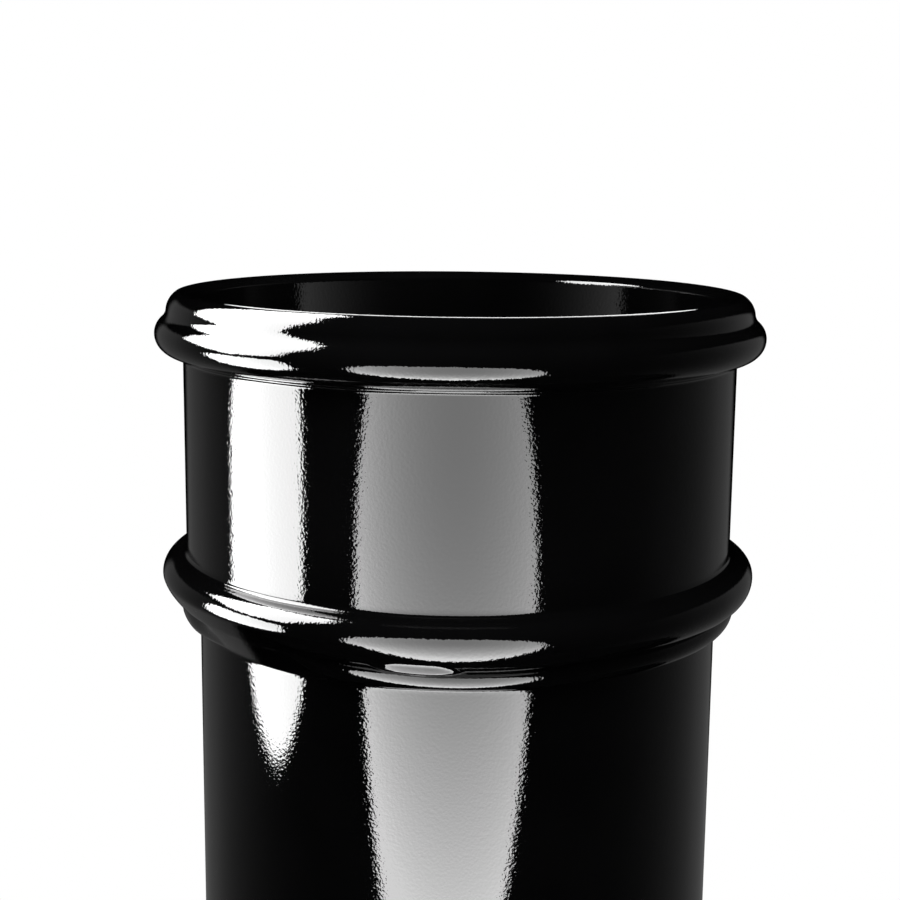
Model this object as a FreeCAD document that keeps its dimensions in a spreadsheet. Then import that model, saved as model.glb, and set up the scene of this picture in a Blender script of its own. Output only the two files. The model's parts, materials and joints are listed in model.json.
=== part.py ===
import FreeCAD, Part
import math
import os
import Sketcher

# Cast iron downpipe, one casting: a round barrel, a socket with a moulded rim and foot, and a plain spigot.
# Millimetres. +Z runs up the pipe, and the origin is the middle of the spigot's end face.

# Driving sizes. A reach is measured outwards, and each moulding is stacked up from its own heights.
SIZES = {
    "overall_length": 914.0,        # spigot end to rim crest, a stock length
    "bore_radius": 50.0,            # waterway, nominal 100 mm
    "barrel_wall": 5.0,
    "spigot_step": 1.9,             # how far the spigot is set in from the barrel
    "spigot_shoulder": 2.0,         # height of the slope from spigot to barrel
    "spigot_end_chamfer": 1.0,      # eases the spigot into a socket
    "socket_clearance": 0.5,        # radial room for the next length's spigot
    "joint_gap": 3.0,               # left between rim and shoulder when a spigot is home
    "collar_step": 2.65,            # how far the collar's wall stands proud of the barrel
    "collar_length": 68.4,          # rim crest to collar foot
    "ledge_rise": 8.6,              # socket floor above the collar's foot
    "ledge_chamfer": 1.0,
    "lip_drop": 1.3,                # how far the lip falls from the crest to the mouth
    "crest_reach": 0.55,            # rim crest beyond the collar's wall
    "crest_round": 1.5,
    "rim_roll_reach": 3.2,          # foot of the rim's upper roll beyond the crest
    "rim_roll_height": 5.0,
    "rim_bead_reach": 1.95,         # widest line of the rim's bead beyond that roll
    "rim_bead_top_height": 3.4,     # the bead's roll from its crease to its widest line
    "rim_bead_under_height": 4.1,   # and from there to the band below it
    "rim_band_reach": 0.85,         # narrow band under the bead, proud of the collar's wall
    "rim_band_height": 1.1,
    "rim_band_splay": 0.6,          # height of the slope from the band in to the wall
    "foot_bead_round": 1.0,         # hollow between the collar's wall and the foot's bead
    "foot_bead_reach": 4.95,        # widest line of the foot's bead beyond the collar's wall
    "foot_bead_top_height": 4.0,
    "foot_bead_under_height": 4.9,
    "foot_roll_top_height": 2.0,    # small roll under the bead, from its crease to its widest line
    "foot_roll_inset": 1.35,        # how far the crease is set in from that line
    "foot_roll_reach": 3.75,        # the roll's widest line beyond the barrel
    "foot_roll_under_height": 3.1,
    "foot_round": 0.7,              # hollow between that roll and the barrel
}

# Radii and heights of the section's corners, worked out from the driving sizes.
CORNERS = {
    "barrel_radius": "=bore_radius + barrel_wall",
    "spigot_radius": "=barrel_radius - spigot_step",
    "spigot_face_radius": "=spigot_radius - spigot_end_chamfer",
    "socket_radius": "=spigot_radius + socket_clearance",
    "ledge_radius": "=bore_radius + ledge_chamfer",
    "collar_radius": "=barrel_radius + collar_step",
    "crest_radius": "=collar_radius + crest_reach",
    "rim_roll_radius": "=crest_radius + rim_roll_reach",
    "rim_bead_radius": "=rim_roll_radius + rim_bead_reach",
    "rim_band_radius": "=collar_radius + rim_band_reach",
    "foot_bead_hollow_radius": "=collar_radius + foot_bead_round",
    "foot_bead_radius": "=collar_radius + foot_bead_reach",
    "foot_roll_radius": "=barrel_radius + foot_roll_reach",
    "foot_crease_radius": "=foot_roll_radius - foot_roll_inset",
    "foot_hollow_radius": "=barrel_radius + foot_round",
    "mouth_height": "=overall_length - lip_drop",
    "rim_crease_height": "=overall_length - rim_roll_height",
    "rim_bead_height": "=rim_crease_height - rim_bead_top_height",
    "rim_band_top": "=rim_bead_height - rim_bead_under_height",
    "rim_band_bottom": "=rim_band_top - rim_band_height",
    "rim_splay_bottom": "=rim_band_bottom - rim_band_splay",
    "foot_height": "=overall_length - collar_length",
    "foot_hollow_bottom": "=foot_height - foot_round",
    "foot_roll_height": "=foot_height + foot_roll_under_height",
    "foot_crease_height": "=foot_roll_height + foot_roll_top_height",
    "foot_bead_height": "=foot_crease_height + foot_bead_under_height",
    "foot_bead_top": "=foot_bead_height + foot_bead_top_height",
    "foot_bead_hollow_top": "=foot_bead_top + foot_bead_round",
    "ledge_height": "=foot_height + ledge_rise",
    "ledge_chamfer_bottom": "=ledge_height - ledge_chamfer",
    "spigot_height": "=overall_length - ledge_height + joint_gap",
    "shoulder_height": "=spigot_height + spigot_shoulder",
    # The crest's small round runs smoothly into the upper roll, which stands upright at its crease.
    "roll_drop": "=rim_roll_height - crest_round",
    "roll_span": "=rim_roll_reach - crest_round",
    "roll_round": "=(rim_roll_reach ^ 2 + roll_drop ^ 2 - crest_round ^ 2) / (2 * roll_span)",
    "crest_share": "=crest_round / (roll_round - crest_round)",
    "crest_end_radius": "=crest_radius + crest_share * (roll_round - rim_roll_reach)",
    "crest_end_height": "=overall_length - crest_round + crest_share * roll_drop",
}

# How the edge that leaves a corner runs to the next one.
STRAIGHT = "straight"
UPRIGHT_HERE = "arc, upright at this corner"
UPRIGHT_NEXT = "arc, upright at the next corner"
LEVEL_HERE = "arc, level at this corner"
LEVEL_NEXT = "arc, level at the next corner"

ACROSS = FreeCAD.Vector(1, 0, 0)
UP = FreeCAD.Vector(0, 1, 0)
TOWARDS_VIEWER = FreeCAD.Vector(0, 0, 1)
START, END, CENTRE = 1, 2, 3
ORIGIN, LEVEL_AXIS = -1, -1

document = FreeCAD.newDocument("downpipe")

sheet = document.addObject("Spreadsheet::Sheet", "sizes")
for row, (alias, content) in enumerate({**SIZES, **CORNERS}.items(), start=1):
    sheet.set(f"A{row}", alias)
    sheet.set(f"B{row}", str(content))
    sheet.setAlias(f"B{row}", alias)
document.recompute()

body = document.addObject("PartDesign::Body", "downpipe")
body.Label = "downpipe"
half_plane = next(plane for plane in body.Origin.OriginFeatures if plane.Role == "XZ_Plane")


def corner_point(corner):
    """A corner's place in the half section. A corner with no height is on the spigot's end face."""
    radius, height, _ = corner
    return FreeCAD.Vector(sheet.get(radius), sheet.get(height) if height else 0, 0)


def tangent_arc(touch, end, normal):
    """Arc to an end from the point where its centre lies along the normal, and which end that point is."""
    chord = end - touch
    offset = chord.dot(chord) / (2 * chord.dot(normal))
    centre = touch + normal * offset
    touch_angle = math.atan2(touch.y - centre.y, touch.x - centre.x)
    end_angle = math.atan2(end.y - centre.y, end.x - centre.x)
    circle = Part.Circle(centre, TOWARDS_VIEWER, abs(offset))
    if (touch - centre).cross(end - centre).z > 0:
        return Part.ArcOfCircle(circle, touch_angle, end_angle), START
    return Part.ArcOfCircle(circle, end_angle, touch_angle), END


def draw_edge(sketch, corner, following):
    """Add the edge from a corner to the next. Gives the edge with its near end and its far end."""
    here, there, run = corner_point(corner), corner_point(following), corner[2]
    if run == STRAIGHT:
        return sketch.addGeometry(Part.LineSegment(here, there)), START, END
    touches_here = run in (UPRIGHT_HERE, LEVEL_HERE)
    upright = run in (UPRIGHT_HERE, UPRIGHT_NEXT)
    touch, end = (here, there) if touches_here else (there, here)
    arc, touch_end = tangent_arc(touch, end, ACROSS if upright else UP)
    edge = sketch.addGeometry(arc)
    in_line = "Horizontal" if upright else "Vertical"
    sketch.addConstraint(Sketcher.Constraint(in_line, edge, CENTRE, edge, touch_end))
    other_end = START if touch_end == END else END
    return (edge, touch_end, other_end) if touches_here else (edge, other_end, touch_end)


def pin_to_size(sketch, direction, edge, end, alias):
    """Hold an edge's end at a size of the sheet, measured from the origin."""
    index = sketch.addConstraint(Sketcher.Constraint(direction, ORIGIN, START, edge, end, sheet.get(alias)))
    sketch.setExpression(f"Constraints[{index}]", f"sizes.{alias}")


def turned_ring(name, corners):
    """Ring turned about the pipe's axis from a closed half section."""
    sketch = body.newObject("Sketcher::SketchObject", f"{name}_section")
    sketch.AttachmentSupport = (half_plane, [""])
    sketch.MapMode = "FlatFace"
    edges = [draw_edge(sketch, corner, following)
             for corner, following in zip(corners, corners[1:] + corners[:1])]
    for (edge, _, far_end), (next_edge, next_end, _) in zip(edges, edges[1:] + edges[:1]):
        sketch.addConstraint(Sketcher.Constraint("Coincident", edge, far_end, next_edge, next_end))
    for (edge, near_end, _), (radius, height, _) in zip(edges, corners):
        pin_to_size(sketch, "DistanceX", edge, near_end, radius)
        if height:
            pin_to_size(sketch, "DistanceY", edge, near_end, height)
        else:
            sketch.addConstraint(Sketcher.Constraint("PointOnObject", edge, near_end, LEVEL_AXIS))
    ring = body.newObject("PartDesign::Revolution", name)
    ring.Profile = sketch
    ring.ReferenceAxis = (sketch, ["V_Axis"])
    ring.Angle = 360
    document.recompute()


# Barrel, with the spigot and its sloping shoulder at one end and the socket's floor at the other.
turned_ring("barrel", [
    ("bore_radius", None, STRAIGHT),
    ("spigot_face_radius", None, STRAIGHT),
    ("spigot_radius", "spigot_end_chamfer", STRAIGHT),
    ("spigot_radius", "spigot_height", STRAIGHT),
    ("barrel_radius", "shoulder_height", STRAIGHT),
    ("barrel_radius", "ledge_height", STRAIGHT),
    ("ledge_radius", "ledge_height", STRAIGHT),
    ("bore_radius", "ledge_chamfer_bottom", STRAIGHT),
])

# Plain wall of the collar, from inside the foot's bead to inside the rim's.
turned_ring("collar_wall", [
    ("socket_radius", "foot_height", STRAIGHT),
    ("barrel_radius", "foot_height", STRAIGHT),
    ("collar_radius", "foot_bead_height", STRAIGHT),
    ("collar_radius", "rim_bead_height", STRAIGHT),
    ("socket_radius", "rim_bead_height", STRAIGHT),
])

# Foot of the collar: a hollow on the barrel, a small roll, a crease, a bead, and a hollow up to the wall.
turned_ring("foot_moulding", [
    ("socket_radius", "foot_hollow_bottom", STRAIGHT),
    ("barrel_radius", "foot_hollow_bottom", UPRIGHT_HERE),
    ("foot_hollow_radius", "foot_height", UPRIGHT_NEXT),
    ("foot_roll_radius", "foot_roll_height", UPRIGHT_HERE),
    ("foot_crease_radius", "foot_crease_height", UPRIGHT_NEXT),
    ("foot_bead_radius", "foot_bead_height", UPRIGHT_HERE),
    ("foot_bead_hollow_radius", "foot_bead_top", UPRIGHT_NEXT),
    ("collar_radius", "foot_bead_hollow_top", STRAIGHT),
    ("socket_radius", "foot_bead_hollow_top", STRAIGHT),
])

# Rim: a narrow band that splays in to the wall, a bead, a crease, an upper roll, the crest, and a lip.
turned_ring("rim_moulding", [
    ("socket_radius", "rim_splay_bottom", STRAIGHT),
    ("collar_radius", "rim_splay_bottom", STRAIGHT),
    ("rim_band_radius", "rim_band_bottom", STRAIGHT),
    ("rim_band_radius", "rim_band_top", UPRIGHT_NEXT),
    ("rim_bead_radius", "rim_bead_height", UPRIGHT_HERE),
    ("rim_roll_radius", "rim_crease_height", UPRIGHT_HERE),
    ("crest_end_radius", "crest_end_height", LEVEL_NEXT),
    ("crest_radius", "overall_length", LEVEL_HERE),
    ("socket_radius", "mouth_height", STRAIGHT),
])

for item in document.Objects:
    if "Invalid" in item.State or "Error" in item.State:
        raise RuntimeError(f"{item.Name} failed: {item.State}")
if body.Shape.isNull() or not body.Shape.isValid() or len(body.Shape.Solids) != 1:
    raise RuntimeError("the casting is not one valid solid")

os.makedirs("parts", exist_ok=True)
body.Shape.exportStep(f"parts/{body.Label}.step")
print(body.Label, "volume", round(body.Shape.Volume), "mm3, box", body.Shape.optimalBoundingBox())
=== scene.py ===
import json
import math

import bmesh
import bpy
from mathutils import Euler, Matrix, Vector, noise


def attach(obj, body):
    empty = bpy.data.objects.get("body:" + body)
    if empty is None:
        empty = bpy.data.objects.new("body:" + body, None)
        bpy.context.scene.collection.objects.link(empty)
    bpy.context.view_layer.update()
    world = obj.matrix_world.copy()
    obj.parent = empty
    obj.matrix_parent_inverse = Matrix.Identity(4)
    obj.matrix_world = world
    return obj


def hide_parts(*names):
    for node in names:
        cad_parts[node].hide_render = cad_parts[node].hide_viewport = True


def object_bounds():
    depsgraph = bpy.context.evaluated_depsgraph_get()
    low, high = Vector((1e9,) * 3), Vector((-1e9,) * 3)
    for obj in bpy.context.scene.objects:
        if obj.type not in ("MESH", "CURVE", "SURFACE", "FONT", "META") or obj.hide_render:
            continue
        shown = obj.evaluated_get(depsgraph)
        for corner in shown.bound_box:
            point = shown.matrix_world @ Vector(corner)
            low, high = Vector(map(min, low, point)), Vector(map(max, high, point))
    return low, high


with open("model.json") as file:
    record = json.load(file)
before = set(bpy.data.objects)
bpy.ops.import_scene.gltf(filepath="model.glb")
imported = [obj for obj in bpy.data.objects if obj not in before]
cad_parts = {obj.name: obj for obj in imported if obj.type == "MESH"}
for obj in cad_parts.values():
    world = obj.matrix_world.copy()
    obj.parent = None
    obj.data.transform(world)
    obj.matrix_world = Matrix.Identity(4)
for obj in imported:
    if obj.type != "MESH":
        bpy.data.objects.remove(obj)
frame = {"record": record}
cadLow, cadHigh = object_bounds()
scene = bpy.context.scene
scene.view_settings.view_transform = "Standard"
mm = 0.001
pipeTop = cadHigh.z
mounts = {m["name"]: m["dims"] for m in frame["record"]["mounts"]}
print("frame loaded, pipe top at", round(pipeTop, 4))

# camera at the photograph's viewing angle, placed from the top of the pipe
photoCamera = {
    "distance": 0.3326,     # from the pipe's axis
    "aboveTop": 0.0267,
    "pitchDown": 10.12,     # degrees
    "roll": 0.63,
    "lens": 63.41,
    "sensor": 36.0,
    "shiftX": -0.0102,
    "shiftY": -0.0068,
    "clip": (0.01, 60.0),
}


def addCamera(spec):
    data = bpy.data.cameras.new("photoCamera")
    data.sensor_width = spec["sensor"]
    data.lens = spec["lens"]
    data.shift_x, data.shift_y = spec["shiftX"], spec["shiftY"]
    data.clip_start, data.clip_end = spec["clip"]
    camera = bpy.data.objects.new("photoCamera", data)
    aim = Euler((math.radians(90 - spec["pitchDown"]), 0, 0)).to_matrix()
    lean = Matrix.Rotation(math.radians(spec["roll"]), 3, "Z")
    camera.rotation_euler = (aim @ lean).to_euler()
    camera.location = (0, -spec["distance"], pipeTop + spec["aboveTop"])
    scene.collection.objects.link(camera)
    scene.camera = camera


addCamera(photoCamera)
print("camera set")

# the casting's half section, in millimetres: radii from the axis, drops from the top of the rim
pipeSection = {
    "turns": 450,           # steps round the axis
    "crestRadius": 58.2,
    "crestRound": 1.5,
    "lipDrop": 1.3,
    "rollEnd": (60.95, 3.5),
    "rollLean": 6,          # degrees that the upper roll still leans in where it ends
    "rimBead": (63.35, 8.4),
    "beadUpper": 3.94,      # radius of the bead above its widest line; paint hollows the crease over it
    "bandTop": (58.5, 12.4),
    "bandLine": (58.36, 12.85),       # two fine lines under the bead, and the quirk between them
    "bandQuirk": (57.88, 13.1),
    "wallLine": (58.0, 13.32),
    "wallTop": 14.0,
    "wallRadius": 57.65,
    "footHollow": 1.0,
    "footBeadTop": (58.65, 54.4),
    "footBead": (62.6, 58.4),
    "footCrease": (57.4, 63.3),
    "footRoll": (58.75, 65.3),
    "footEnd": (55.7, 68.4),
    "barrelHollow": 0.7,
    "ledgeDrop": 59.8,
    "ledgeChamfer": 1.0,
    "shoulderHeight": (62.8, 64.8),   # up from the foot of the pipe
    "spigotChamfer": 1.0,
    "softEdge": 0.22,       # paint rounds the corners by this much, but leaves the foot's crease crisp
    "endLoop": 0.7,         # rings this near to the ends of a straight stretch keep its shading true
    "bandLoop": 0.1,        # the same for the narrow band
    "wallLoops": (0.12, 0.24),        # and for the top of the wall
    # steps along each arc and straight stretch, from the mouth outwards, down, and up the bore
    "steps": {
        "lip": 12, "crest": 8, "roll": 10, "rimHollow": 8, "beadUpper": 12, "beadLower": 16, "quirk": 5,
        "wallHollow": 6, "wall": 4, "footHollow": 6, "footUpper": 14, "footLower": 16, "rollUpper": 8,
        "rollLower": 12, "barrelHollow": 6, "barrel": 14, "spigot": 4, "bore": 8, "socket": 6,
    },
    "samePoint": 0.001,     # nearer than this, two points of the section are one
    "sameCorner": 0.01,
    "weld": 1e-6,           # metres, as is the next
    "level": 1e-7,
    "fettling": 0.07,       # hand dressing of the foot bead
    "fettlingLength": 11.0,
    "dressedInside": 0.2,   # how far inside the radius of the foot's end the dressing reaches
    # angles in degrees round from the front, with the half width of each spot
    "flatBeads": [(-48, 42), (130, 30)],
    "flatFrom": (62.59, 58.7),
    "closedCreases": [(-43, 24), (112, 20), (-155, 24)],
    "closedFrom": (60.06, 62.7),
    "closing": 1.6,         # over 1, so a crease stays shut some way out from the middle of its spot
    "sunkRolls": [(2, 30), (165, 25)],
    "sinking": 0.85,
    "sunkTo": 0.7,          # below the roll's widest line, where the sinking starts to fade
    "creasePlugs": [(-7, 8.5), (-128, 7)],
    "plugFace": (61.5, 62.25),
    "plugReach": 1.4,       # in half widths
    "plugAbove": 2,
    "plugSides": 1.6,       # how fast a plug falls away to its sides, over its face and under its lower edge
    "plugDome": 0.1,
    "plugUnder": 3.5,
    "plugEdge": (0.7, 0.4),           # drop of the lower edge in the middle, and its rise to the sides
}


# points of an arc that leaves touch square to the given normal and ends at end
def arcFrom(touch, end, normal, steps):
    start, stop, out = Vector(touch), Vector(end), Vector(normal).normalized()
    chord = stop - start
    radius = chord.length_squared / (2 * chord.dot(out))
    centre = start + radius * out
    first = start - centre
    sweep = first.angle_signed(stop - centre)
    return [centre + Matrix.Rotation(-sweep * i / steps, 2) @ first for i in range(steps + 1)]


# points of a straight stretch, with a ring near each end
def straight(start, stop, near, steps=1):
    a, b = Vector(start), Vector(stop)
    inset = (b - a).normalized() * near
    first, last = a + inset, b - inset
    return [a] + [first.lerp(last, i / steps) for i in range(steps + 1)] + [b]


def sectionPoints(spec):
    top = pipeTop / mm
    bore, barrel = mounts["waterway"]["r_mm"], mounts["barrel"]["r_mm"]
    socket, spigot = mounts["socket"]["r_mm"], mounts["spigot"]["r_mm"]

    def at(radius, drop):
        return (radius, top - drop)

    # the upper roll runs out of the crest's round, and through a hollow into the bead
    crest = Vector(at(spec["crestRadius"], 0))
    mouth = at(socket, spec["lipDrop"])
    rollEnd = Vector(at(*spec["rollEnd"]))
    crestRound = spec["crestRound"]
    roundCentre = crest - Vector((0, crestRound))
    rollInward = Vector((-1, 0))
    rollInward.rotate(Matrix.Rotation(math.radians(spec["rollLean"]), 2))
    span = rollEnd - roundCentre
    rollRadius = (span.length_squared - crestRound ** 2) / (-2 * (crestRound + span.dot(rollInward)))
    rollCentre = rollEnd + rollInward * rollRadius
    meet = roundCentre + (roundCentre - rollCentre).normalized() * crestRound
    rimBead, footBead, footRoll = at(*spec["rimBead"]), at(*spec["footBead"]), at(*spec["footRoll"])
    upper = spec["beadUpper"]
    beadCentre = Vector(rimBead) - Vector((upper, 0))
    gap = rollEnd - beadCentre
    rimHollow = (gap.length_squared - upper ** 2) / (2 * (upper + gap.dot(rollInward)))
    beadStart = beadCentre + (rollEnd - rollInward * rimHollow - beadCentre).normalized() * upper

    bandTop, bandLine = at(*spec["bandTop"]), at(*spec["bandLine"])
    bandQuirk, wallLine = at(*spec["bandQuirk"]), at(*spec["wallLine"])
    bandSquare = (bandLine[1] - bandTop[1], bandTop[0] - bandLine[0])
    wall, hollow = spec["wallRadius"], spec["footHollow"]
    footBeadTop, footCrease = at(*spec["footBeadTop"]), at(*spec["footCrease"])
    footEnd = at(*spec["footEnd"])
    barrelTop = (barrel, footEnd[1] - spec["barrelHollow"])
    wallTop, wallFoot = at(wall, spec["wallTop"]), (wall, footBeadTop[1] + hollow)
    firstLoop, secondLoop = (at(wall, spec["wallTop"] + loop) for loop in spec["wallLoops"])
    shoulderLow, shoulderHigh = spec["shoulderHeight"]
    chamfer, ledge = spec["spigotChamfer"], top - spec["ledgeDrop"]
    boreTop = (bore, ledge - spec["ledgeChamfer"])
    inward, outward, downward = (-1, 0), (1, 0), (0, -1)
    near, steps = spec["endLoop"], spec["steps"]
    runs = [
        arcFrom(crest, mouth, downward, steps["lip"])[::-1],
        arcFrom(crest, meet, downward, steps["crest"]),
        arcFrom(rollEnd, meet, rollInward, steps["roll"])[::-1],
        arcFrom(rollEnd, beadStart, -rollInward, steps["rimHollow"]),
        arcFrom(rimBead, beadStart, inward, steps["beadUpper"])[::-1],
        arcFrom(rimBead, bandTop, inward, steps["beadLower"]),
        straight(bandTop, bandLine, spec["bandLoop"]),
        arcFrom(bandLine, bandQuirk, bandSquare, steps["quirk"]),
        arcFrom(wallTop, wallLine, outward, steps["wallHollow"])[::-1],
        [firstLoop],
        straight(secondLoop, wallFoot, near, steps["wall"]),
        arcFrom(wallFoot, footBeadTop, outward, steps["footHollow"]),
        arcFrom(footBead, footBeadTop, inward, steps["footUpper"])[::-1],
        arcFrom(footBead, footCrease, inward, steps["footLower"]),
        arcFrom(footRoll, footCrease, inward, steps["rollUpper"])[::-1],
        arcFrom(footRoll, footEnd, inward, steps["rollLower"]),
        arcFrom(barrelTop, footEnd, outward, steps["barrelHollow"])[::-1],
        straight(barrelTop, (barrel, shoulderHigh), near, steps["barrel"]),
        straight((spigot, shoulderLow), (spigot, chamfer), near, steps["spigot"]),
        [(spigot - chamfer, 0)],
        straight((bore, 0), boreTop, near, steps["bore"]),
        [(bore + spec["ledgeChamfer"], ledge)],
        straight((socket, ledge), mouth, near, steps["socket"]),
    ]
    points = []
    for point in (Vector(p) for run in runs for p in run):
        if not points or (point - points[-1]).length > spec["samePoint"]:
            points.append(point)
    points.pop()            # the last point is the first one again
    sharp = [mouth, (barrel, shoulderHigh), (spigot, shoulderLow), (spigot, chamfer), (spigot - chamfer, 0),
             (bore, 0), boreTop, (bore + spec["ledgeChamfer"], ledge), (socket, ledge)]
    return points, [Vector(s) for s in sharp], [Vector(footCrease)]


# from 0 at low to 1 at high, level at both
def eased(value, low, high):
    t = min(1, max(0, (value - low) / (high - low)))
    return t * t * (3 - 2 * t)


# the foot of the collar was dressed by hand before painting, so it isn't quite true
def dressFoot(bm, spec):
    top, (endRadius, endDrop) = pipeTop / mm, spec["footEnd"]
    beadTop, beadDrop = spec["footBeadTop"][1], spec["footBead"][1]
    flatRadius, flatDrop = spec["flatFrom"]
    closedRadius, closedDrop = spec["closedFrom"]
    sunkDrop = spec["footRoll"][1] + spec["sunkTo"]
    plugRadius, plugDrop = spec["plugFace"]
    edgeDrop, edgeRise = spec["plugEdge"]

    def apart(angle, middle):
        return abs((angle - middle + 180) % 360 - 180)

    def share(spots, angle):
        return max(max(0, 1 - (apart(angle, middle) / half) ** 2) ** 2 for middle, half in spots)

    for vert in bm.verts:
        radius, drop = vert.co.xy.length / mm, top - vert.co.z / mm
        if radius < endRadius - spec["dressedInside"] or not beadTop < drop < endDrop:
            continue
        angle = math.degrees(math.atan2(vert.co.x, -vert.co.y))
        fade = math.sin(math.pi * (endDrop - drop) / (endDrop - beadTop))
        newRadius = radius + noise.noise(vert.co / (spec["fettlingLength"] * mm)) * fade * spec["fettling"]
        if flatDrop < drop <= closedDrop:   # the bead's underside is dressed flat in places
            slope = flatRadius + (closedRadius - flatRadius) * (drop - flatDrop) / (closedDrop - flatDrop)
            newRadius += (slope - newRadius) * share(spec["flatBeads"], angle)
        if drop > closedDrop:               # and the small roll with it
            slope = closedRadius + (endRadius - closedRadius) * (drop - closedDrop) / (endDrop - closedDrop)
            newRadius += (slope - newRadius) * min(1, spec["closing"] * share(spec["closedCreases"], angle))
        sinking = spec["sinking"] * share(spec["sunkRolls"], angle)
        newDrop = drop + sinking * eased(drop, beadDrop, closedDrop) * eased(drop, endDrop, sunkDrop)
        for middle, half in spec["creasePlugs"]:
            off = apart(angle, middle) / half
            below = newDrop - plugDrop - sinking
            if off < spec["plugReach"] and below > -spec["plugAbove"]:    # a spot where the crease is plugged
                under = max(0, below - edgeDrop + edgeRise * off ** 2)
                plug = plugRadius - spec["plugSides"] * off ** 4 - spec["plugDome"] * below ** 2
                newRadius = max(newRadius, plug - spec["plugUnder"] * under ** 2)
        vert.co.xy *= newRadius / radius
        vert.co.z = (top - newDrop) * mm


def turnPipe(spec):
    points, sharp, creases = sectionPoints(spec)
    bm = bmesh.new()
    ring = [bm.verts.new((p.x * mm, 0, p.y * mm)) for p in points]
    loop = [bm.edges.new((a, b)) for a, b in zip(ring, ring[1:] + ring[:1])]
    bmesh.ops.spin(bm, geom=ring + loop, cent=(0, 0, 0), axis=(0, 0, 1), dvec=(0, 0, 0),
                   angle=2 * math.pi, steps=spec["turns"], use_merge=True)
    bmesh.ops.remove_doubles(bm, verts=bm.verts, dist=spec["weld"])
    bmesh.ops.recalc_face_normals(bm, faces=bm.faces)

    def onRing(edge, corners):
        a, b = edge.verts
        if abs(a.co.z - b.co.z) > spec["level"]:
            return False
        here = Vector((a.co.xy.length / mm, a.co.z / mm))
        return any((here - s).length < spec["sameCorner"] for s in corners)

    bmesh.ops.bevel(bm, geom=[e for e in bm.edges if onRing(e, sharp)], offset=spec["softEdge"] * mm,
                    offset_type="OFFSET", affect="EDGES", segments=3, profile=0.5, material=-1,
                    clamp_overlap=True)
    for edge in bm.edges:
        edge.smooth = not onRing(edge, creases)
    dressFoot(bm, spec)
    for face in bm.faces:
        face.smooth = True
    mesh = bpy.data.meshes.new("castDownpipe")
    bm.to_mesh(mesh)
    bm.free()
    piece = bpy.data.objects.new("castDownpipe", mesh)
    scene.collection.objects.link(piece)
    return piece


# each term of a sum is a number or another node's output
def mathNode(tree, operation, *terms):
    node = tree.nodes.new("ShaderNodeMath")
    node.operation = operation
    for socket, term in zip(node.inputs, terms):
        if isinstance(term, (int, float)):
            socket.default_value = term
        else:
            tree.links.new(term, socket)
    return node.outputs[0]


def rangeNode(tree, source, span, ends=(0, 1), shape="LINEAR", clamp=True):
    node = tree.nodes.new("ShaderNodeMapRange")
    node.interpolation_type = shape
    node.clamp = clamp
    node.inputs["From Min"].default_value, node.inputs["From Max"].default_value = span
    node.inputs["To Min"].default_value, node.inputs["To Max"].default_value = ends
    tree.links.new(source, node.inputs["Value"])
    return node.outputs["Result"]


# high gloss black paint on cast iron: a faint orange peel, and a slow unevenness of the casting below it
paintFinish = {
    "black": (0.0009, 0.0009, 0.00095, 1),
    "blackWorn": (0.0018, 0.0018, 0.0019, 1),
    "wornSpan": (0.35, 0.7),
    "roughness": (0.02, 0.045),
    "roughSpan": (0.3, 0.7),
    "boreRoughness": 0.30,
    "boreEdge": (0.9, 0.4),     # millimetres outside the waterway, where the dull finish starts and is full
    "peelGrain": (0.55, 1.5),   # size in millimetres, and detail
    "peelHeight": 0.022,
    "castGrain": (14.0, 2),
    "castHeight": 0.012,
    "wearGrain": (40, 3),
    "ior": 1.5,
}


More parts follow.
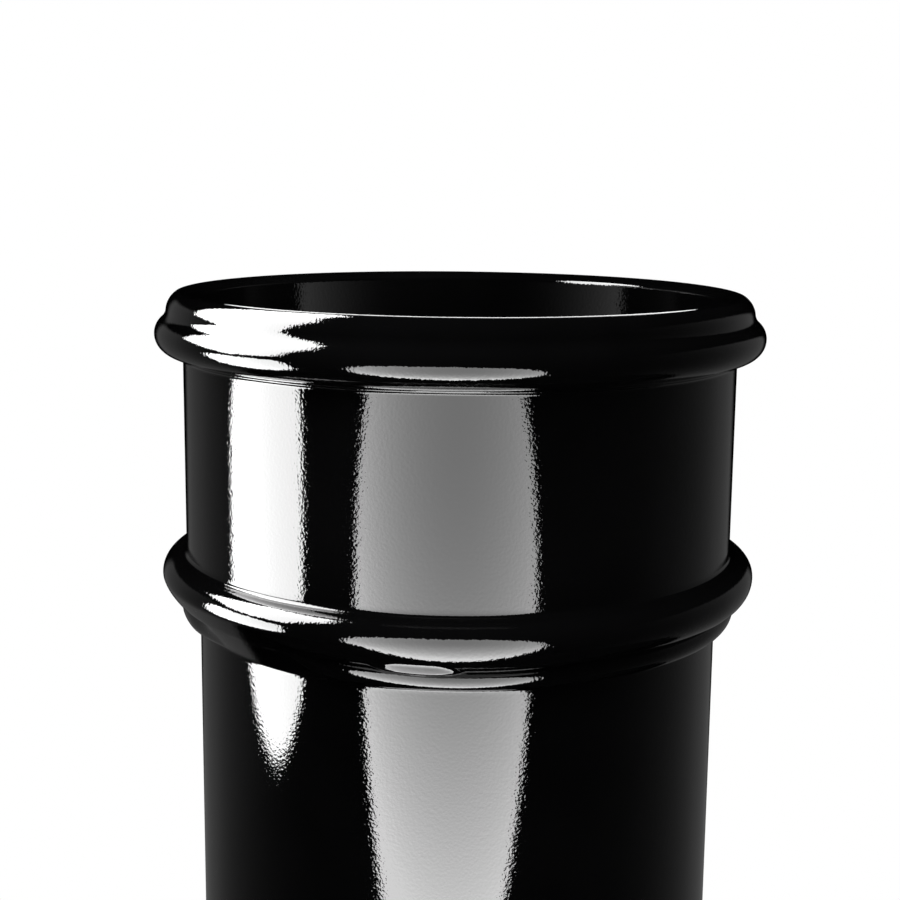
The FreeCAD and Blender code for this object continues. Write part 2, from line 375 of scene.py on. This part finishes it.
def paintMaterial(spec):
    material = bpy.data.materials.new("glossBlackPaint")
    material.use_nodes = True
    tree = material.node_tree
    nodes, links = tree.nodes, tree.links
    shader = nodes["Principled BSDF"]
    shader.inputs["IOR"].default_value = spec["ior"]
    place = nodes.new("ShaderNodeTexCoord").outputs["Object"]

    def grain(size, detail):
        node = nodes.new("ShaderNodeTexNoise")
        node.inputs["Scale"].default_value = 1 / (size * mm)
        node.inputs["Detail"].default_value = detail
        links.new(place, node.inputs["Vector"])
        return node.outputs["Fac"]

    def bump(source, height):
        node = nodes.new("ShaderNodeBump")
        node.inputs["Strength"].default_value = 1
        node.inputs["Distance"].default_value = height * mm
        links.new(source, node.inputs["Height"])
        return node

    peel, cast, wear = grain(*spec["peelGrain"]), grain(*spec["castGrain"]), grain(*spec["wearGrain"])

    # the waterway below the socket took little paint: duller there
    apart = nodes.new("ShaderNodeSeparateXYZ")
    links.new(place, apart.inputs[0])
    flat = nodes.new("ShaderNodeCombineXYZ")
    links.new(apart.outputs["X"], flat.inputs["X"])
    links.new(apart.outputs["Y"], flat.inputs["Y"])
    radius = nodes.new("ShaderNodeVectorMath")
    radius.operation = "LENGTH"
    links.new(flat.outputs[0], radius.inputs[0])
    boreSpan = [(mounts["waterway"]["r_mm"] + edge) * mm for edge in spec["boreEdge"]]
    inBore = rangeNode(tree, radius.outputs["Value"], boreSpan)
    sheen = rangeNode(tree, wear, spec["roughSpan"], spec["roughness"])
    dull = nodes.new("ShaderNodeMix")
    dull.inputs["B"].default_value = spec["boreRoughness"]
    links.new(inBore, dull.inputs["Factor"])
    links.new(sheen, dull.inputs["A"])
    links.new(dull.outputs["Result"], shader.inputs["Roughness"])

    tone = nodes.new("ShaderNodeValToRGB")
    for i, colour in enumerate((spec["black"], spec["blackWorn"])):
        tone.color_ramp.elements[i].position = spec["wornSpan"][i]
        tone.color_ramp.elements[i].color = colour
    links.new(wear, tone.inputs["Fac"])
    links.new(tone.outputs["Color"], shader.inputs["Base Color"])

    below, above = bump(cast, spec["castHeight"]), bump(peel, spec["peelHeight"])
    links.new(below.outputs["Normal"], above.inputs["Normal"])
    links.new(above.outputs["Normal"], shader.inputs["Normal"])
    return material


downpipe = turnPipe(pipeSection)
downpipe.data.materials.append(paintMaterial(paintFinish))
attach(downpipe, "root")
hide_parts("downpipe")
print("downpipe turned,", len(downpipe.data.polygons), "faces")

# the studio: a pale floor, soft lamps, and cards that show only as reflections in the paint
floorSheet = {
    "radius": 0.95,
    "sides": 96,
    "colour": (0.80, 0.80, 0.80, 1),
    "roughness": 0.8,
    "fade": (0.5, 0.92),        # to white for the camera
    "mirrored": (0.06, 0.38),   # to dark in reflections
}
darkSurround = {
    "radius": 2.6,
    "segments": (48, 24),
    "grey": 0.137,
    "greySpan": (-0.6, 0.62),   # from front to back, as shares of the radius
    "blackSpan": (0.85, 0.89),
    "leftRise": 0.375,          # slopes of the two lines that the grey ends at
    "rightRise": 1.0,
    "rightDrop": 0.48,
    "lineEdge": 0.03,
}
lightCards = {
    "frontCard": {
        "centre": (-0.015, -0.152, 0.818), "turn": 0, "half": (0.089, 0.09, 0.120), "square": (2.6, 1.5),
        "strength": 3.9, "gain": 570, "most": 15, "dimAt": (0, -0.152, 0.884)},
    "leftLowCard": {
        "centre": (-0.17, -0.060, 0.826), "turn": 90, "half": (0.0555, 0.062, 0.0525), "square": (6, 1.8),
        "strength": 19},
    "leftHighCard": {"centre": (-0.17, 0, 1.04), "turn": 90, "strength": 21, "outline": [
        (-0.046, -0.134), (-0.032, -0.130), (0.012, -0.110), (0.042, -0.098), (0.058, -0.065), (0.088, 0.025),
        (0.200, 0.200), (0.300, 0.340), (0.080, 0.300), (-0.005, 0.165), (-0.052, 0.103), (-0.095, 0.049),
        (-0.104, -0.020), (-0.108, -0.085), (-0.102, -0.114)]},
    "mouthCard": {
        "centre": (0, 0, pipeTop + 0.0205), "turn": 0, "half": (0.05, 0.02, 0.02), "square": (12, 12),
        "strength": 2.6, "oneSided": True},
    "backCard": {
        "centre": (0.005, 0.20, 0.47), "turn": 0, "half": (0.04, 0.42, 0.42), "square": (12, 12),
        "strength": 4},
}
cardSides = 72
barrelStrips = {
    "away": 0.22,
    "middle": 0.31,
    "halfHeight": 0.26,
    "square": (9, 9),
    "strips": [(0, 0.035, 5), (-90, 0.03, 8), (90, 0.025, 5)],  # degrees from the front, half width, strength
}
mouthGlow = {
    "radius": 45 * mm,
    "span": (pipeTop - 0.05, pipeTop - 0.0015),
    "reach": 131,           # degrees
    "strength": 0.6,
    "strengthAt": 0.62,     # behind the axis, as a share of the radius
    "power": 2.6,
}
lowFlag = {"height": 0.62, "inner": 0.064, "outer": 0.30, "reach": 100, "colour": (0.002, 0.002, 0.002, 1)}
sweepSteps = 60
softLamps = {
    "overheadLamp": {"place": (-0.6, -0.8, 2.4), "size": 1.8, "power": 60},
    "fillLamp": {"place": (1.6, -1.2, 1.6), "size": 1.4, "power": 18},
}
lampTarget = Vector((0, 0, 0.4))
worldLight = {"colour": (1, 1, 1, 1), "background": 1.0, "ambient": 0.45}


def stageObject(name, bm):
    mesh = bpy.data.meshes.new(name)
    bm.to_mesh(mesh)
    bm.free()
    obj = bpy.data.objects.new(name, mesh)
    scene.collection.objects.link(obj)
    return obj


def onlyReflected(obj):
    obj.visible_camera = obj.visible_diffuse = obj.visible_shadow = False
    obj.visible_transmission = obj.visible_volume_scatter = False


def glowMaterial(name):
    material = bpy.data.materials.new(name)
    material.use_nodes = True
    tree = material.node_tree
    tree.nodes.clear()
    out = tree.nodes.new("ShaderNodeOutputMaterial")
    glow = tree.nodes.new("ShaderNodeEmission")
    tree.links.new(glow.outputs[0], out.inputs["Surface"])
    return material, glow, out


def mixShaders(tree, share, first, second):
    node = tree.nodes.new("ShaderNodeMixShader")
    tree.links.new(share, node.inputs["Fac"])
    tree.links.new(first.outputs[0], node.inputs[1])
    tree.links.new(second.outputs[0], node.inputs[2])
    return node


# clear from behind
def seenFromFront(tree, glow, out):
    face = tree.nodes.new("ShaderNodeNewGeometry")
    clear = tree.nodes.new("ShaderNodeBsdfTransparent")
    blend = mixShaders(tree, face.outputs["Backfacing"], glow, clear)
    tree.links.new(blend.outputs[0], out.inputs["Surface"])


def addFloor(spec):
    bm = bmesh.new()
    bmesh.ops.create_circle(bm, cap_ends=True, segments=spec["sides"], radius=spec["radius"])
    floor = stageObject("floorSheet", bm)
    material = bpy.data.materials.new("paleFloor")
    material.use_nodes = True
    tree = material.node_tree
    nodes, links = tree.nodes, tree.links
    matt = nodes["Principled BSDF"]
    matt.inputs["Base Color"].default_value = spec["colour"]
    matt.inputs["Roughness"].default_value = spec["roughness"]
    white, dark = nodes.new("ShaderNodeEmission"), nodes.new("ShaderNodeEmission")
    dark.inputs["Strength"].default_value = 0
    path = nodes.new("ShaderNodeLightPath")
    place = nodes.new("ShaderNodeTexCoord")
    far = nodes.new("ShaderNodeVectorMath")
    far.operation = "LENGTH"
    links.new(place.outputs["Object"], far.inputs[0])

    # grows with the distance from the pipe, for one kind of ray
    def beyond(span, ray):
        grown = rangeNode(tree, far.outputs["Value"], span, shape="SMOOTHSTEP")
        return mathNode(tree, "MULTIPLY", grown, path.outputs[ray])

    # the paint mirrors the floor close by, and dark beyond it
    seen = mixShaders(tree, beyond(spec["fade"], "Is Camera Ray"), matt, white)
    both = mixShaders(tree, beyond(spec["mirrored"], "Is Glossy Ray"), seen, dark)
    links.new(both.outputs[0], nodes["Material Output"].inputs["Surface"])
    floor.data.materials.append(material)


def addSurround(spec):
    bm = bmesh.new()
    size, (across, up) = spec["radius"], spec["segments"]
    bmesh.ops.create_uvsphere(bm, u_segments=across, v_segments=up, radius=size)
    bmesh.ops.translate(bm, verts=bm.verts, vec=(0, 0, pipeTop))
    for face in bm.faces:
        face.smooth = True
    shell = stageObject("darkSurround", bm)
    onlyReflected(shell)
    material, glow, _ = glowMaterial("darkSurround")
    tree = material.node_tree
    place = tree.nodes.new("ShaderNodeTexCoord")
    apart = tree.nodes.new("ShaderNodeSeparateXYZ")
    tree.links.new(place.outputs["Object"], apart.inputs[0])
    x, y, z = apart.outputs["X"], apart.outputs["Y"], apart.outputs["Z"]

    # grey to the sides, black straight behind and above two lines that rise to the sides
    left = mathNode(tree, "MULTIPLY_ADD", x, -spec["leftRise"], 0)
    right = mathNode(tree, "MULTIPLY_ADD", x, spec["rightRise"], -spec["rightDrop"] * size)
    height = mathNode(tree, "SUBTRACT", z, mathNode(tree, "MAXIMUM", left, right))
    edge = spec["lineEdge"] * size
    grey = rangeNode(tree, y, [share * size for share in spec["greySpan"]], (0, spec["grey"] ** 0.5))
    grey = mathNode(tree, "MULTIPLY", grey, grey)
    behind = rangeNode(tree, y, [share * size for share in spec["blackSpan"]], (1, 0))
    above = rangeNode(tree, height, (pipeTop - edge, pipeTop + edge), (1, 0))
    for part in (behind, above):
        grey = mathNode(tree, "MULTIPLY", grey, part)
    tree.links.new(grey, glow.inputs["Strength"])
    shell.data.materials.append(material)


def addCard(name, spec):
    bm = bmesh.new()
    if "outline" in spec:
        bm.faces.new([bm.verts.new((across, up, 0)) for across, up in spec["outline"]])
    else:
        bmesh.ops.create_circle(bm, cap_ends=True, segments=cardSides, radius=1)
        across, up, down = spec["half"]
        for vert in bm.verts:       # squarer or sharper than a circle above and below its middle
            above = vert.co.y > 0
            power = 2 / spec["square"][0 if above else 1]
            vert.co.x = math.copysign(abs(vert.co.x) ** power, vert.co.x) * across
            vert.co.y = math.copysign(abs(vert.co.y) ** power, vert.co.y) * (up if above else down)
    bmesh.ops.rotate(bm, verts=bm.verts, matrix=Matrix.Rotation(math.radians(90), 3, "X"))
    bmesh.ops.rotate(bm, verts=bm.verts, matrix=Matrix.Rotation(math.radians(spec["turn"]), 3, "Z"))
    bmesh.ops.translate(bm, verts=bm.verts, vec=spec["centre"])
    card = stageObject(name, bm)
    onlyReflected(card)
    material, glow, out = glowMaterial(name)
    tree = material.node_tree
    glow.inputs["Strength"].default_value = spec["strength"]
    if "oneSided" in spec:
        seenFromFront(tree, glow, out)
    if "gain" in spec:          # brighter away from one point
        place = tree.nodes.new("ShaderNodeTexCoord")
        gap = tree.nodes.new("ShaderNodeVectorMath")
        gap.operation = "SUBTRACT"
        gap.inputs[1].default_value = spec["dimAt"]
        tree.links.new(place.outputs["Object"], gap.inputs[0])
        square = tree.nodes.new("ShaderNodeVectorMath")
        square.operation = "DOT_PRODUCT"
        tree.links.new(gap.outputs[0], square.inputs[0])
        tree.links.new(gap.outputs[0], square.inputs[1])
        level = mathNode(tree, "MULTIPLY_ADD", square.outputs["Value"], spec["gain"], spec["strength"])
        tree.links.new(mathNode(tree, "MINIMUM", level, spec["most"]), glow.inputs["Strength"])
    card.data.materials.append(material)


# lower strips for the barrel
def addStrips(spec):
    away, tall = spec["away"], spec["halfHeight"]
    for turn, halfWidth, strength in spec["strips"]:
        angle = math.radians(turn)
        addCard(f"barrelStrip{turn}", {
            "centre": (away * math.sin(angle), -away * math.cos(angle), spec["middle"]),
            "turn": turn,
            "half": (halfWidth, tall, tall),
            "square": spec["square"],
            "strength": strength,
        })


# a sheet swept round the axis from its front, reach degrees to both sides
def sweptSheet(ends, reach):
    bm = bmesh.new()
    verts = [bm.verts.new((0, -radius, height)) for radius, height in ends]
    edge = bm.edges.new(verts)
    half = math.radians(reach)
    bmesh.ops.rotate(bm, verts=verts, matrix=Matrix.Rotation(-half, 3, "Z"))
    bmesh.ops.spin(bm, geom=verts + [edge], cent=(0, 0, 0), axis=(0, 0, 1), dvec=(0, 0, 0),
                   angle=2 * half, steps=sweepSteps)
    return bm


# keeps the lower strips out of the collar's underside
def addFlag(spec):
    bm = sweptSheet([(spec["inner"], spec["height"]), (spec["outer"], spec["height"])], spec["reach"])
    flag = stageObject("lowFlag", bm)
    onlyReflected(flag)
    material = bpy.data.materials.new("blackFlag")
    material.use_nodes = True
    matt = material.node_tree.nodes["Principled BSDF"]
    matt.inputs["Base Color"].default_value = spec["colour"]
    matt.inputs["Roughness"].default_value = 1
    matt.inputs["Specular IOR Level"].default_value = 0
    flag.data.materials.append(material)


# a dim sleeve in the mouth, brighter towards its ends and seen only from the axis
def addSleeve(spec):
    bm = sweptSheet([(spec["radius"], height) for height in spec["span"]], spec["reach"])
    inward = bm.faces[:]
    bmesh.ops.recalc_face_normals(bm, faces=inward)
    bmesh.ops.reverse_faces(bm, faces=inward)
    sleeve = stageObject("mouthGlow", bm)
    onlyReflected(sleeve)
    material, glow, out = glowMaterial("mouthGlow")
    tree = material.node_tree
    place = tree.nodes.new("ShaderNodeTexCoord")
    apart = tree.nodes.new("ShaderNodeSeparateXYZ")
    tree.links.new(place.outputs["Object"], apart.inputs[0])
    span = (-spec["radius"], spec["strengthAt"] * spec["radius"])
    root = spec["strength"] ** (1 / spec["power"])
    along = rangeNode(tree, apart.outputs["Y"], span, (0, root), clamp=False)
    tree.links.new(mathNode(tree, "POWER", along, spec["power"]), glow.inputs["Strength"])
    seenFromFront(tree, glow, out)
    sleeve.data.materials.append(material)


def addLamp(name, spec):
    data = bpy.data.lights.new(name, "AREA")
    data.shape, data.size, data.energy = "DISK", spec["size"], spec["power"]
    lamp = bpy.data.objects.new(name, data)
    lamp.location = spec["place"]
    lamp.rotation_euler = (lampTarget - lamp.location).to_track_quat("-Z", "Y").to_euler()
    lamp.visible_glossy = lamp.visible_camera = False
    scene.collection.objects.link(lamp)


# full strength where it is seen, directly or in the paint, and less as light
def addWorld(spec):
    world = bpy.data.worlds.new("studioWorld")
    scene.world = world
    world.use_nodes = True
    tree = world.node_tree
    tree.nodes.clear()
    out = tree.nodes.new("ShaderNodeOutputWorld")
    sky = tree.nodes.new("ShaderNodeBackground")
    sky.inputs["Color"].default_value = spec["colour"]
    path = tree.nodes.new("ShaderNodeLightPath")
    either = path.outputs["Is Camera Ray"]
    for ray in ("Is Glossy Ray", "Is Transmission Ray"):
        either = mathNode(tree, "MAXIMUM", either, path.outputs[ray])
    level = rangeNode(tree, either, (0, 1), (spec["ambient"], spec["background"]))
    tree.links.new(level, sky.inputs["Strength"])
    tree.links.new(sky.outputs[0], out.inputs["Surface"])


addFloor(floorSheet)
addSurround(darkSurround)
addFlag(lowFlag)
addSleeve(mouthGlow)
for cardName, cardSpec in lightCards.items():
    addCard(cardName, cardSpec)
addStrips(barrelStrips)
for lampName, lampSpec in softLamps.items():
    addLamp(lampName, lampSpec)
addWorld(worldLight)
print("studio set")
